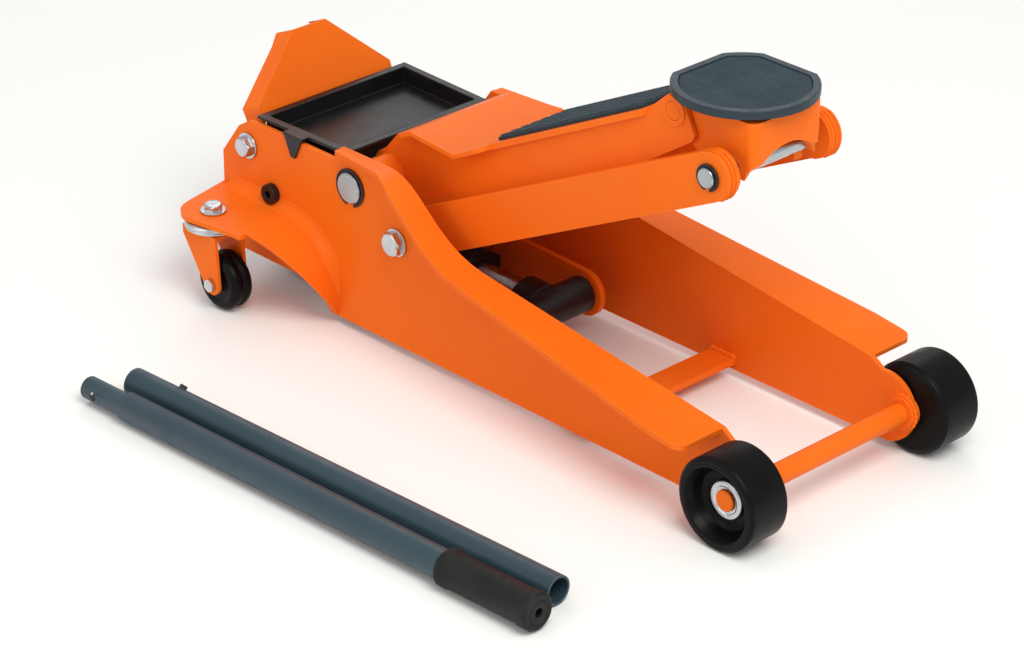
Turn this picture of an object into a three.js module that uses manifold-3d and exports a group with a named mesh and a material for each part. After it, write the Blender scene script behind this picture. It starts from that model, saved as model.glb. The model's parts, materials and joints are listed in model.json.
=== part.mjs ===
// Hydraulic trolley jack with its two-piece handle lying beside it.
// Millimetres, +Z up, +X towards the front wheels, +Y towards the left side plate.
import * as THREE from 'three';
import Module from 'manifold-3d';

const wasm = await Module();
wasm.setup();

// ---------------------------------------------------------------- driving sizes
const GAP = 0.3;                     // air left between two pieces that meet
const RUN = 0.6;                     // running clearance on a radius
const ROUND = 22;                    // sides of a round bar

// front axle and wheels; the axle line is x = 0
const WHEEL_RADIUS = 41.5;
const WHEEL_WIDTH = 45;
const WHEEL_STAND_OFF = 1.5;         // side plate to the wheel
const WHEEL_RECESS_RADIUS = 33;
const WHEEL_RECESS_DEPTH = 16;
const AXLE_RADIUS = 9.5;
const AXLE_END_PROUD = 5;            // axle end beyond the bottom of the wheel recess
const AXLE_RING_RADIUS = 17.5;
const AXLE_RING_THICKNESS = 3;

// side plates
const PLATE_GAP_HALF = 88.5;         // centre plane to the inner face of a plate
const PLATE = 4.5;
const WHEEL_OUTER_Y = PLATE_GAP_HALF + PLATE + WHEEL_STAND_OFF + WHEEL_WIDTH;
const PLATE_BOTTOM_Z = 8;
const PLATE_REAR_X = -664;
const PLATE_REAR_BOTTOM_Z = 30;
const PLATE_TRAY_Z = 162.5;          // top edge under the tray
const PLATE_HUMP_Z = 176;            // top edge over the arm pivot
const NOSE_X = -20;
const NOSE_Z = 40;
const NOSE_RADIUS = 32;
const FLANGE_FRONT_X = 4.5 - WHEEL_RADIUS;
const FLANGE_FRONT_Z = 80;
const FLANGE_OUTER_Y = PLATE_GAP_HALF + 54.5;
const FLANGE_CORNER = 12;
const FLANGE_HEEL_X = -324;          // where the straight top edge starts behind
const FLANGE_HEEL_Z = 116;
const HUMP_REAR_X = -500;
const HUMP_FRONT_X = -440;
const EAR_Z = 90;                    // top of the caster ear
const ARCH_START_X = -575;
const ARCH_END_X = -507;
const ARCH_END_Z = 28;

// pivots, as (x, z)
const ARM_PIVOT = new THREE.Vector2(-487, 142);
const LINK_PIVOT = new THREE.Vector2(-427.5, 109.5);
const ARM_LENGTH = 384;
const ARM_ANGLE = 26.5 * Math.PI / 180;
const PIVOT_SHAFT_RADIUS = 14.5;
const PIVOT_SHAFT_PROUD = 4;
const LINK_BOLT_RADIUS = 9;
const HEAD_PIN_RADIUS = 8;
const CROSS_PIN_RADIUS = 8.8;

// lift arm
const ARM_HALF_WIDTH = 46;
const ARM_WALL = 4;
const CRANK_LENGTH = 110;            // arm pivot down to the crank pin
const CRANK_PIN_RADIUS = 8;
const PAD_THICKNESS = 3;
const PAD_RIB = 1.3;

// links outside the arm
const LINK_WALL = 4;
const LINK_TOP_WIDTH = 14;

// head and saddle
const SADDLE_X = -108;
const SADDLE_TOP_Z = 334;
const SADDLE_RADIUS = 61;
const SADDLE_FLAT = 53.5;            // centre to each straight cut
const SADDLE_THICKNESS = 7.5;
const SADDLE_STEM_RADIUS = 14;

// crosshead, ram and the drive plates that move the crank studs
const RAM_Z = 44;
const RAM_RADIUS = 17;
const CYLINDER_RADIUS = 27;
const CYLINDER_REAR_X = -600;
const CYLINDER_FRONT_X = -422;
const CROSSHEAD_X = -338;
const CROSSHEAD_RADIUS = 17;
const DRIVE_PLATE = 6;
const DRIVE_PLATE_HALF_HEIGHT = 22;
const CRANK_SLOT_PLAY = 1.4;

// hydraulic block and pump
const BLOCK_REAR_X = -640;
const BLOCK_FRONT_X = -560;
const BLOCK_HALF_WIDTH = 42;
const BLOCK_BOTTOM_Z = 12;
const BLOCK_TOP_Z = 92;
const PUMP_X = -645;                 // behind the yoke pivot, so leaning back presses it
const PUMP_Y = -30;
const PUMP_RADIUS = 7;
const PUMP_COLLAR = 10;              // collar height above the block
const PUMP_CAP_Z = 146;
const PUMP_CAP = 5;
const PUMP_CAP_RADIUS = 12;
const VALVE_Y = 24;

// yoke
const YOKE_PIVOT = new THREE.Vector2(-627, 137);
const YOKE_LEAN = 21 * Math.PI / 180;
const YOKE_BOLT_RADIUS = 7;
const YOKE_SHEET = 4;
const YOKE_BOTTOM_HALF = PLATE_GAP_HALF - 8.5;
const YOKE_TOP_HALF = 19.5;
const YOKE_TOP_REACH = 87;           // pivot to the top edge along the lean
const YOKE_SHOULDER = 31;            // pivot to where the sides start to taper
const SOCKET_RADIUS = 15;
const SOCKET_BORE = 11.2;

// tool tray
const TRAY_REAR_X = -618;
const TRAY_FRONT_X = -502;
const TRAY_HALF_WIDTH = PLATE_GAP_HALF + 0.7;   // the rim reaches over the plates' top edges
const TRAY_TOP_Z = 168;
const TRAY_DEPTH = 18;
const TRAY_WALL = 2.5;
const TRAY_LIP = 5.5;

// casters
const CASTER_X = -619;
const CASTER_Y = PLATE_GAP_HALF + 54.5;
const CASTER_TRAIL = 14;
const CASTER_WHEEL_RADIUS = 27;
const CASTER_WHEEL_WIDTH = 24;
const CASTER_SHEET = 3.5;

// handle
const TUBE_RADIUS = 13;
const TUBE_WALL = 2;
const TUBE_NECK_RADIUS = 10.4;
const TUBE_NECK_LENGTH = 46;
const GRIP_RADIUS = 16.5;
const GRIP_LENGTH = 101;
const LOWER_TUBE_LENGTH = 501;
const UPPER_TUBE_LENGTH = 539;
const UPPER_TUBE_X = -547;
const UPPER_TUBE_Y = -344;
const UPPER_TUBE_TURN = 2 * Math.PI / 180;
const LOWER_TUBE_X = -527;
const LOWER_TUBE_Y = -310;
const LOWER_TUBE_TURN = 2.7 * Math.PI / 180;

// smaller shared sizes
const PLUG_X = -594;
const PLUG_Z = 101;
const PLUG_RADIUS = 7;
const CASTER_BOLT_RADIUS = 5;
const DRIVE_PLATE_INNER_Y = ARM_HALF_WIDTH + 2;
const ARM_SWING = 30 * Math.PI / 180;
const LINK_OUTER_Y = 67;
const HEAD_FRONT_X = -60;
const BUTTON_RADIUS = 3.5;
const BUTTON_X = 52;                 // from the tube's end
const BUTTON_ROLL = 45 * Math.PI / 180;

// ---------------------------------------------------------------- colours
const PAINT = { color: '#ee6412', roughness: 0.38, metalness: 0.1 };
const BLACK_PAINT = { color: '#141416', roughness: 0.45, metalness: 0.2 };
const ZINC = { color: '#b9bec4', roughness: 0.3, metalness: 1.0 };
const STEEL = { color: '#9a9fa4', roughness: 0.25, metalness: 1.0 };
const SPRING_STEEL = { color: '#2c2d30', roughness: 0.4, metalness: 0.9 };
const TYRE = { color: '#17181a', roughness: 0.55, metalness: 0.0 };
const PLASTIC = { color: '#111315', roughness: 0.4, metalness: 0.0 };
const RUBBER = { color: '#1b1c1e', roughness: 0.8, metalness: 0.0 };
const SLATE = { color: '#3a4a56', roughness: 0.5, metalness: 0.1 };
const SLATE_RUBBER = { color: '#3b4852', roughness: 0.8, metalness: 0.0 };

// ---------------------------------------------------------------- solid helpers
function toSolid(geometry) {
  const plain = geometry.index ? geometry.toNonIndexed() : geometry;
  const source = plain.getAttribute('position').array;
  const seen = new Map();
  const points = [];
  const corners = [];
  for (let i = 0; i < source.length; i += 3) {
    const place = [source[i], source[i + 1], source[i + 2]];
    const key = place.map((value) => Math.round(value * 1e4)).join(',');
    if (!seen.has(key)) {
      seen.set(key, points.length / 3);
      points.push(...place);
    }
    corners.push(seen.get(key));
  }
  const kept = [];
  for (let i = 0; i < corners.length; i += 3) {
    const [a, b, c] = corners.slice(i, i + 3);
    if (a !== b && b !== c && c !== a) kept.push(a, b, c);
  }
  return new wasm.Manifold(new wasm.Mesh({
    numProp: 3,
    vertProperties: new Float32Array(points),
    triVerts: new Uint32Array(kept),
  }));
}

function toGeometry(solid) {
  const mesh = solid.getMesh();
  const geometry = new THREE.BufferGeometry();
  geometry.setAttribute('position', new THREE.BufferAttribute(new Float32Array(mesh.vertProperties), 3));
  geometry.setIndex(new THREE.BufferAttribute(new Uint32Array(mesh.triVerts), 1));
  geometry.computeVertexNormals();
  return geometry;
}

// adds and cuts plain geometries: the first list is joined, the second is removed
function build(joined, removed = [], kept = []) {
  let solid = toSolid(joined[0]);
  for (const geometry of joined.slice(1)) solid = solid.add(toSolid(geometry));
  for (const geometry of removed) solid = solid.subtract(toSolid(geometry));
  for (const geometry of kept) solid = solid.intersect(toSolid(geometry));
  return toGeometry(solid);
}

function box(x0, x1, y0, y1, z0, z1) {
  const geometry = new THREE.BoxGeometry(x1 - x0, y1 - y0, z1 - z0);
  return geometry.translate((x0 + x1) / 2, (y0 + y1) / 2, (z0 + z1) / 2);
}

function outline(points) {
  return new THREE.Shape(points.map(([a, b]) => new THREE.Vector2(a, b)));
}

// an outline in (x, z) made solid between two y values
function slabXZ(shape, y0, y1) {
  const options = { depth: y1 - y0, bevelEnabled: false, curveSegments: 9 };
  const geometry = new THREE.ExtrudeGeometry(shape, options);
  return geometry.rotateX(Math.PI / 2).translate(0, y1, 0);
}

// an outline in (x, y) made solid between two z values
function slabXY(shape, z0, z1) {
  const options = { depth: z1 - z0, bevelEnabled: false, curveSegments: 12 };
  const geometry = new THREE.ExtrudeGeometry(shape, options);
  return geometry.translate(0, 0, z0);
}

// an outline in (y, z) made solid between two x values
function slabYZ(shape, x0, x1) {
  const options = { depth: x1 - x0, bevelEnabled: false, curveSegments: 12 };
  const geometry = new THREE.ExtrudeGeometry(shape, options);
  geometry.rotateX(Math.PI / 2).rotateZ(Math.PI / 2);
  return geometry.translate(x0, 0, 0);
}

// a round bar along y between two y values
function barY(radius, x, z, y0, y1, sides = ROUND) {
  return new THREE.CylinderGeometry(radius, radius, y1 - y0, sides).translate(x, (y0 + y1) / 2, z);
}

function barX(radius, y, z, x0, x1, sides = ROUND) {
  const geometry = new THREE.CylinderGeometry(radius, radius, x1 - x0, sides).rotateZ(-Math.PI / 2);
  return geometry.translate((x0 + x1) / 2, y, z);
}

function barZ(radius, x, y, z0, z1, sides = ROUND) {
  const geometry = new THREE.CylinderGeometry(radius, radius, z1 - z0, sides).rotateX(Math.PI / 2);
  return geometry.translate(x, y, (z0 + z1) / 2);
}

// a turned profile of [radius, distance] pairs, spun about +Y
function turned(profile, sides = ROUND) {
  return new THREE.LatheGeometry(profile.map(([r, h]) => new THREE.Vector2(r, h)), sides);
}

// a band of even thickness below a line of (x, z) points
function band(points, thickness) {
  const lower = points.map((point, index) => {
    const before = points[Math.max(index - 1, 0)];
    const after = points[Math.min(index + 1, points.length - 1)];
    const along = after.clone().sub(before).normalize();
    return new THREE.Vector2(point.x + along.y * thickness, point.y - along.x * thickness);
  });
  return new THREE.Shape([...points, ...lower.reverse()]);
}

// rounded bar outline around two centres in (x, z)
function stadium(from, to, radius, radiusTo = radius) {
  const angle = Math.atan2(to.y - from.y, to.x - from.x);
  const shape = new THREE.Shape();
  shape.absarc(to.x, to.y, radiusTo, angle - Math.PI / 2, angle + Math.PI / 2, false);
  shape.absarc(from.x, from.y, radius, angle + Math.PI / 2, angle + Math.PI * 1.5, false);
  return shape;
}

function mirrored(geometry) {
  const copy = geometry.clone().scale(1, -1, 1);
  const index = copy.index.array;
  for (let i = 0; i < index.length; i += 3) [index[i], index[i + 1]] = [index[i + 1], index[i]];
  copy.computeVertexNormals();
  return copy;
}

function piece(name, geometry, look) {
  const mesh = new THREE.Mesh(geometry, new THREE.MeshStandardMaterial(look));
  mesh.name = name;
  return mesh;
}

// hexagon head with a washer under it, pointing along -Y from the face at y
function hexBoltY(x, z, faceY, headRadius, washerRadius, shankRadius, shankEndY) {
  const washer = 2;
  const head = headRadius * 0.7;
  return build([
    barY(washerRadius, x, z, faceY - GAP - washer, faceY - GAP),
    new THREE.CylinderGeometry(headRadius, headRadius, head, 6)
      .translate(x, faceY - GAP - washer - head / 2 + 0.01, z),
    new THREE.CylinderGeometry(headRadius * 0.62, headRadius * 0.5, 1.2, 18)
      .rotateX(Math.PI).translate(x, faceY - GAP - washer - head - 0.5, z),
    barY(shankRadius, x, z, faceY - GAP - washer, shankEndY),
  ]);
}

// ring that sits in a groove at the end of a pin
function circlip(x, z, boreRadius, outerRadius, y0, y1) {
  const opening = box(x - boreRadius * 0.35, x + boreRadius * 0.35, y0 - 1, y1 + 1, z - outerRadius * 1.2, z);
  return build([barY(outerRadius, x, z, y0, y1)], [barY(boreRadius, x, z, y0 - 1, y1 + 1), opening]);
}

// ---------------------------------------------------------------- side plates
function topEdge() {
  const curve = new THREE.CubicBezierCurve(
    new THREE.Vector2(HUMP_FRONT_X, PLATE_HUMP_Z),
    new THREE.Vector2(HUMP_FRONT_X + 40, PLATE_HUMP_Z),
    new THREE.Vector2(FLANGE_HEEL_X - 61, FLANGE_HEEL_Z + 9),
    new THREE.Vector2(FLANGE_HEEL_X, FLANGE_HEEL_Z),
  );
  const rear = new THREE.Vector2(HUMP_REAR_X, PLATE_HUMP_Z);
  const front = new THREE.Vector2(FLANGE_FRONT_X, FLANGE_FRONT_Z);
  return [rear, ...curve.getPoints(12), front];
}

function archEdge() {
  const curve = new THREE.QuadraticBezierCurve(
    new THREE.Vector2(ARCH_START_X, EAR_Z),
    new THREE.Vector2(ARCH_END_X - 5, EAR_Z - 2),
    new THREE.Vector2(ARCH_END_X, ARCH_END_Z),
  );
  const rear = new THREE.Vector2(PLATE_REAR_X, EAR_Z);
  const foot = new THREE.Vector2(ARCH_END_X, PLATE_BOTTOM_Z);
  return [rear, ...curve.getPoints(8), foot];
}

function webOutline() {
  const shape = new THREE.Shape();
  const chamferX = YOKE_PIVOT.x - 13;
  shape.moveTo(PLATE_REAR_X, PLATE_REAR_BOTTOM_Z);
  shape.lineTo(ARCH_END_X - 38, PLATE_REAR_BOTTOM_Z);
  shape.lineTo(ARCH_END_X - 10, PLATE_BOTTOM_Z);
  shape.lineTo(NOSE_X, NOSE_Z - NOSE_RADIUS);
  shape.absarc(NOSE_X, NOSE_Z, NOSE_RADIUS, -Math.PI / 2, Math.PI * 0.55, false);
  for (const point of topEdge().reverse()) shape.lineTo(point.x, point.y);
  shape.lineTo(HUMP_REAR_X - 10, PLATE_TRAY_Z);
  shape.lineTo(chamferX + 16, PLATE_TRAY_Z);
  shape.lineTo(chamferX, PLATE_TRAY_Z - 10);
  shape.lineTo(PLATE_REAR_X, PLATE_TRAY_Z - 42);
  shape.closePath();
  return shape;
}

// plan of the top flange, y measured outwards from the centre plane
function flangePlan() {
  const innerY = PLATE_GAP_HALF;
  const shape = new THREE.Shape();
  shape.moveTo(HUMP_REAR_X + 1, innerY);
  shape.lineTo(HUMP_REAR_X + 1, innerY + 12);
  shape.lineTo(HUMP_FRONT_X, innerY + 17);
  shape.lineTo(HUMP_FRONT_X + 24, innerY + 26);
  shape.lineTo(FLANGE_HEEL_X - 26, innerY + 31);
  shape.lineTo(FLANGE_FRONT_X - 43, FLANGE_OUTER_Y);
  shape.lineTo(FLANGE_FRONT_X - FLANGE_CORNER, FLANGE_OUTER_Y);
  const cornerX = FLANGE_FRONT_X - FLANGE_CORNER;
  shape.absarc(cornerX, FLANGE_OUTER_Y - FLANGE_CORNER, FLANGE_CORNER, Math.PI / 2, 0, true);
  shape.lineTo(FLANGE_FRONT_X, innerY);
  shape.closePath();
  return shape;
}

// plan of the caster ear, y measured outwards from the centre plane
function earPlan() {
  const tip = 26;
  const shape = new THREE.Shape();
  shape.moveTo(PLATE_REAR_X, PLATE_GAP_HALF);
  shape.lineTo(PLATE_REAR_X, PLATE_GAP_HALF + PLATE);
  shape.lineTo(CASTER_X - 33, CASTER_Y + 3);
  shape.absarc(CASTER_X - 7, CASTER_Y - 1, tip, Math.PI * 0.95, Math.PI * 0.42, true);
  shape.lineTo(ARCH_START_X + 11, CASTER_Y + 15);
  shape.lineTo(ARCH_END_X - 24, CASTER_Y + 10);
  shape.lineTo(ARCH_END_X + 6, CASTER_Y - 10);
  shape.lineTo(ARCH_END_X + 6, PLATE_GAP_HALF);
  shape.closePath();
  return shape;
}

function sidePlate() {
  const inner = PLATE_GAP_HALF;
  const outer = inner + PLATE;
  const reach = 200;
  const web = slabXZ(webOutline(), inner, outer);
  const flange = build([slabXZ(band(topEdge(), PLATE), inner, reach)], [], [slabXY(flangePlan(), 0, reach)]);
  const taper = outline([
    [outer, PLATE_BOTTOM_Z], [reach, PLATE_BOTTOM_Z - 1], [reach, EAR_Z + 50], [outer + 59, EAR_Z],
  ]);
  const ear = build(
    [slabXZ(band(archEdge(), PLATE), inner, reach)],
    [slabYZ(taper, ARCH_START_X + 10, ARCH_END_X + 10)],
    [slabXY(earPlan(), 0, reach)],
  );
  const boss = barY(AXLE_RADIUS + 5, 0, WHEEL_RADIUS, inner - 4, outer + 1, 24);
  const holes = [
    barY(AXLE_RADIUS + GAP, 0, WHEEL_RADIUS, inner - 6, outer + 6),
    barY(PIVOT_SHAFT_RADIUS + GAP, ARM_PIVOT.x, ARM_PIVOT.y, inner - 6, outer + 6),
    barY(LINK_BOLT_RADIUS + GAP, LINK_PIVOT.x, LINK_PIVOT.y, inner - 6, outer + 6),
    barY(YOKE_BOLT_RADIUS + GAP, YOKE_PIVOT.x, YOKE_PIVOT.y, inner - 6, outer + 6),
    barY(PLUG_RADIUS + GAP, PLUG_X, PLUG_Z, inner - 6, outer + 6),
    barZ(CASTER_BOLT_RADIUS + GAP, CASTER_X, CASTER_Y, EAR_Z - 10, EAR_Z + 10),
  ];
  return build([web, flange, ear, boss], holes);
}

// ---------------------------------------------------------------- frame pieces
function frontAxle() {
  const end = WHEEL_OUTER_Y - WHEEL_RECESS_DEPTH + AXLE_END_PROUD;
  const groove = WHEEL_OUTER_Y - WHEEL_RECESS_DEPTH + GAP;
  const neck = AXLE_RADIUS - 1.5;
  return turned([
    [0, -end], [AXLE_RADIUS - 1, -end], [AXLE_RADIUS, -end + 1],
    [AXLE_RADIUS, -groove - AXLE_RING_THICKNESS - GAP], [neck, -groove - AXLE_RING_THICKNESS - GAP],
    [neck, -groove + GAP], [AXLE_RADIUS, -groove + GAP],
    [AXLE_RADIUS, groove - GAP], [neck, groove - GAP],
    [neck, groove + AXLE_RING_THICKNESS + GAP], [AXLE_RADIUS, groove + AXLE_RING_THICKNESS + GAP],
    [AXLE_RADIUS, end - 1], [AXLE_RADIUS - 1, end], [0, end],
  ]).translate(0, 0, WHEEL_RADIUS);
}

// ring around the axle end, on the left side
function axleRing() {
  const face = WHEEL_OUTER_Y - WHEEL_RECESS_DEPTH + GAP + 0.1;
  const bore = AXLE_RADIUS - 1.5 + GAP;
  return turned([
    [bore, face], [AXLE_RING_RADIUS, face], [AXLE_RING_RADIUS, face + AXLE_RING_THICKNESS - 1],
    [AXLE_RING_RADIUS - 1, face + AXLE_RING_THICKNESS], [bore, face + AXLE_RING_THICKNESS], [bore, face],
  ], 12).translate(0, 0, WHEEL_RADIUS);
}

// plain roller with a deep outer recess, on the left side
function frontWheel() {
  const inner = WHEEL_OUTER_Y - WHEEL_WIDTH;
  const floor = WHEEL_OUTER_Y - WHEEL_RECESS_DEPTH;
  const edge = 2.5;
  const bore = AXLE_RADIUS + RUN;
  return turned([
    [bore, inner], [WHEEL_RADIUS - edge, inner], [WHEEL_RADIUS, inner + edge],
    [WHEEL_RADIUS, WHEEL_OUTER_Y - edge], [WHEEL_RADIUS - edge, WHEEL_OUTER_Y],
    [WHEEL_RECESS_RADIUS, WHEEL_OUTER_Y], [WHEEL_RECESS_RADIUS - 7, floor + 2],
    [WHEEL_RECESS_RADIUS - 9, floor], [bore, floor], [bore, inner],
  ], 36).translate(0, 0, WHEEL_RADIUS);
}

function crossBrace() {
  const end = PLATE_GAP_HALF - GAP;
  const width = 30;
  const front = -189;
  return build([
    box(front - width, front, -end, end, PLATE_BOTTOM_Z + 6, PLATE_BOTTOM_Z + 12),
  ]);
}

function pivotShaft() {
  const end = PLATE_GAP_HALF + PLATE + PIVOT_SHAFT_PROUD;
  const groove = PLATE_GAP_HALF + PLATE + GAP;
  const clip = 1.8;
  const neck = PIVOT_SHAFT_RADIUS - 1.5;
  const half = [
    [PIVOT_SHAFT_RADIUS, groove - 0.2], [neck, groove - 0.2], [neck, groove + clip + 0.2],
    [PIVOT_SHAFT_RADIUS, groove + clip + 0.2], [PIVOT_SHAFT_RADIUS, end - 1], [PIVOT_SHAFT_RADIUS - 1, end],
    [0, end],
  ];
  const other = half.map(([radius, y]) => [radius, -y]).reverse();
  return turned([...other, ...half]).translate(ARM_PIVOT.x, 0, ARM_PIVOT.y);
}

function pivotCirclip() {
  const face = PLATE_GAP_HALF + PLATE + GAP;
  const groove = PIVOT_SHAFT_RADIUS - 1.2;
  return circlip(ARM_PIVOT.x, ARM_PIVOT.y, groove, PIVOT_SHAFT_RADIUS + 3.5, face + 0.1, face + 1.7);
}

function sidePlug() {
  const face = -(PLATE_GAP_HALF + PLATE);
  return build(
    [
      barY(PLUG_RADIUS + 2.5, PLUG_X, PLUG_Z, face - GAP - 7, face - GAP, 20),
      barY(PLUG_RADIUS, PLUG_X, PLUG_Z, face - GAP - 1, -BLOCK_HALF_WIDTH - 14, 20),
    ],
    [new THREE.CylinderGeometry(4, 4, 8, 6).translate(PLUG_X, face - GAP - 6, PLUG_Z)],
  );
}

// ---------------------------------------------------------------- hydraulic unit
function hydraulicBlock() {
  const y = BLOCK_HALF_WIDTH;
  const foot = PLATE_GAP_HALF - GAP;
  return build(
    [
      box(BLOCK_REAR_X, BLOCK_FRONT_X, -y, y, BLOCK_BOTTOM_Z, BLOCK_TOP_Z),
      box(BLOCK_REAR_X + 16, BLOCK_FRONT_X - 18, -foot + 28, foot - 28, BLOCK_BOTTOM_Z, BLOCK_TOP_Z - 12),
      barX(CYLINDER_RADIUS + 5, 0, RAM_Z, BLOCK_FRONT_X - 10, BLOCK_FRONT_X + 12),
      box(PUMP_X - 14, BLOCK_REAR_X + 5, PUMP_Y - 12, PUMP_Y + 12, BLOCK_BOTTOM_Z + 20, BLOCK_TOP_Z),
      barZ(PUMP_RADIUS + 5, PUMP_X, PUMP_Y, BLOCK_TOP_Z - 5, BLOCK_TOP_Z + PUMP_COLLAR, 24),
    ],
    [
      barX(CYLINDER_RADIUS + GAP, 0, RAM_Z, CYLINDER_REAR_X, BLOCK_FRONT_X + 40),
      barZ(PUMP_RADIUS + RUN, PUMP_X, PUMP_Y, BLOCK_TOP_Z - 32, BLOCK_TOP_Z + 20),
      barX(6 + RUN, VALVE_Y, BLOCK_TOP_Z - 12, BLOCK_REAR_X - 10, BLOCK_REAR_X + 34, 20),
    ],
  );
}

function ramCylinder() {
  return build(
    [
      barX(CYLINDER_RADIUS, 0, RAM_Z, CYLINDER_REAR_X + GAP, CYLINDER_FRONT_X),
      barX(CYLINDER_RADIUS + 3, 0, RAM_Z, CYLINDER_FRONT_X - 16, CYLINDER_FRONT_X, 6),
    ],
    [barX(RAM_RADIUS + RUN, 0, RAM_Z, CYLINDER_REAR_X + 8, CYLINDER_FRONT_X + 5)],
  );
}

function ramRod() {
  return build([barX(RAM_RADIUS, 0, RAM_Z, CROSSHEAD_X - 195, CROSSHEAD_X - CROSSHEAD_RADIUS - 6)]);
}

function pumpPlunger() {
  return build([
    barZ(PUMP_RADIUS, PUMP_X, PUMP_Y, BLOCK_TOP_Z - 9, PUMP_CAP_Z - 1, 20),
    barZ(PUMP_CAP_RADIUS, PUMP_X, PUMP_Y, PUMP_CAP_Z - PUMP_CAP, PUMP_CAP_Z, 20),
  ]);
}

// hexagon-headed stem at the back of the block that lets the ram sink when it is turned
function releaseValve() {
  return build([
    barX(6, VALVE_Y, BLOCK_TOP_Z - 12, BLOCK_REAR_X - 14, BLOCK_REAR_X + 30, 20),
    barX(9, VALVE_Y, BLOCK_TOP_Z - 12, BLOCK_REAR_X - 24, BLOCK_REAR_X - 8, 6),
  ]);
}

// coil on the plunger between the block and its cap
function pumpSpring() {
  const bottom = BLOCK_TOP_Z + PUMP_COLLAR + GAP;
  const top = PUMP_CAP_Z - PUMP_CAP - GAP;
  const wire = 1.2;
  const coil = PUMP_RADIUS + 2.6;
  const turns = 5;
  const height = top - bottom - 2 * wire;
  class Coil extends THREE.Curve {
    getPoint(t) {
      const angle = t * turns * 2 * Math.PI;
      const z = bottom + wire + height * t;
      return new THREE.Vector3(PUMP_X + coil * Math.cos(angle), PUMP_Y + coil * Math.sin(angle), z);
    }
  }
  const section = new THREE.Shape();
  section.absarc(0, 0, wire, 0, Math.PI * 2, false);
  return build([new THREE.ExtrudeGeometry(section, {
    steps: turns * 9, extrudePath: new Coil(), curveSegments: 3, bevelEnabled: false,
  })]);
}

// black cross bar on the end of the ram, with a stub at each end for a drive plate
function crosshead() {
  const end = ARM_HALF_WIDTH;
  const stub = DRIVE_PLATE_INNER_Y + DRIVE_PLATE + 2;
  const back = CROSSHEAD_X - CROSSHEAD_RADIUS - 8;
  return build(
    [
      barY(CROSSHEAD_RADIUS, CROSSHEAD_X, RAM_Z, -end, end),
      barY(9, CROSSHEAD_X, RAM_Z, -stub, stub, 20),
      barX(RAM_RADIUS + 6, 0, RAM_Z, back, CROSSHEAD_X),
    ],
    [barX(RAM_RADIUS + GAP, 0, RAM_Z, back - 10, CROSSHEAD_X - CROSSHEAD_RADIUS + 4)],
  );
}

// flat plate from the crosshead back to the slot in which a crank stud works
function drivePlate() {
  const crank = new THREE.Vector2(ARM_PIVOT.x, ARM_PIVOT.y - CRANK_LENGTH);
  const slotHalf = CRANK_PIN_RADIUS + CRANK_SLOT_PLAY;
  const slotTop = crank.y + CRANK_LENGTH * (1 - Math.cos(ARM_SWING)) + 3;
  const rear = new THREE.Vector2(crank.x, RAM_Z - 3);
  const front = new THREE.Vector2(CROSSHEAD_X, RAM_Z);
  const body = slabXZ(
    stadium(rear, front, DRIVE_PLATE_HALF_HEIGHT + 7, DRIVE_PLATE_HALF_HEIGHT),
    DRIVE_PLATE_INNER_Y, DRIVE_PLATE_INNER_Y + DRIVE_PLATE,
  );
  const slot = slabXZ(
    stadium(new THREE.Vector2(crank.x, crank.y - 1), new THREE.Vector2(crank.x, slotTop), slotHalf),
    DRIVE_PLATE_INNER_Y - 5, DRIVE_PLATE_INNER_Y + DRIVE_PLATE + 5,
  );
  const inner = DRIVE_PLATE_INNER_Y;
  const hole = barY(9 + GAP, CROSSHEAD_X, RAM_Z, inner - 5, inner + DRIVE_PLATE + 5, 20);
  return build([body], [slot, hole]);
}

// ---------------------------------------------------------------- lift arm
// along the arm from its pivot and square to it, turned into (x, z)
function onArm(along, across) {
  const x = ARM_PIVOT.x + along * Math.cos(ARM_ANGLE) - across * Math.sin(ARM_ANGLE);
  const z = ARM_PIVOT.y + along * Math.sin(ARM_ANGLE) + across * Math.cos(ARM_ANGLE);
  return new THREE.Vector2(x, z);
}

const HEAD_PIN = onArm(ARM_LENGTH, -2);
const CROSS_PIN = HEAD_PIN.clone().add(LINK_PIVOT).sub(ARM_PIVOT);
const ARM_TIP = 13.5;                 // arm end beyond the head pin
const ARM_TIP_TOP = 14;              // arm above the head pin
const PIVOT_BOSS = 22;
const PIVOT_TUBE_WALL = 3;
const ARM_TOP = 5;                   // top face above the pivot line
const COVER_TOP = 33;                // raised rear part of the top plate
const COVER_START = 28;
const COVER_WIDE_START = 42;
const COVER_RAISED_END = 66;
const COVER_LOW_START = 114;
const COVER_END = 150;
const COVER_HALF_WIDTH = 63;
const TOP_OVERHANG = 5;              // top plate beyond each arm wall

function coverLine(start) {
  return [onArm(start, COVER_TOP), onArm(COVER_RAISED_END, COVER_TOP), onArm(COVER_LOW_START, ARM_TOP),
    onArm(COVER_END, ARM_TOP)];
}

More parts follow.
